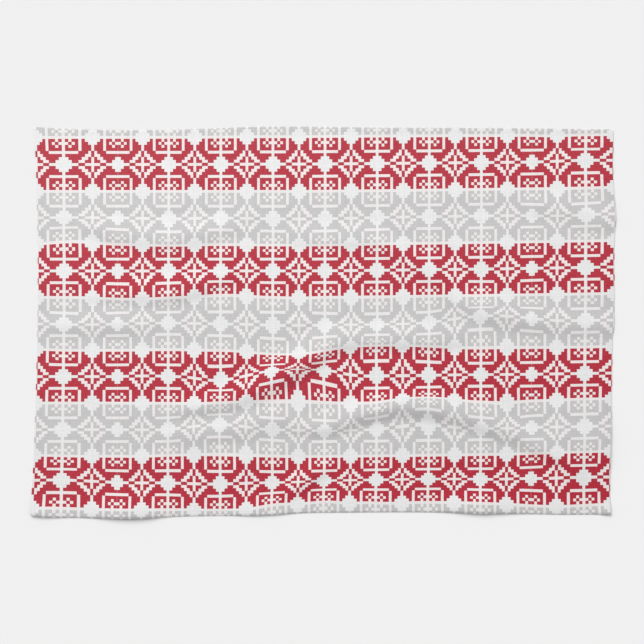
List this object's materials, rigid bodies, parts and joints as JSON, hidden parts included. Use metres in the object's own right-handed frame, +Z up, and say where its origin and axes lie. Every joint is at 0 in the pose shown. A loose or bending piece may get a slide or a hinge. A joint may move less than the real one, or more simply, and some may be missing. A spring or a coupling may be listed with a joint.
{
  "type": "tea towel",
  "caption": "Printed cotton tea towel lying flat with soft folds, a thin rectangular sheet with narrow turned hems and bands of star and medallion pattern.",
  "frame": {"origin": "on the surface that the towel lies on, under the middle of the towel's box", "axes": "+X along the towel's length, to the right as seen from above; +Y across its width, towards the top edge; +Z up from the surface"},
  "size_m": [0.6113, 0.4112, 0.0086],
  "materials": {
    "printed_cotton": "matte woven cotton, white, printed with bands in deep red and light grey"
  },
  "bodies": {
    "root": {"towel_cloth": "printed_cotton"}
  },
  "joints": []
}
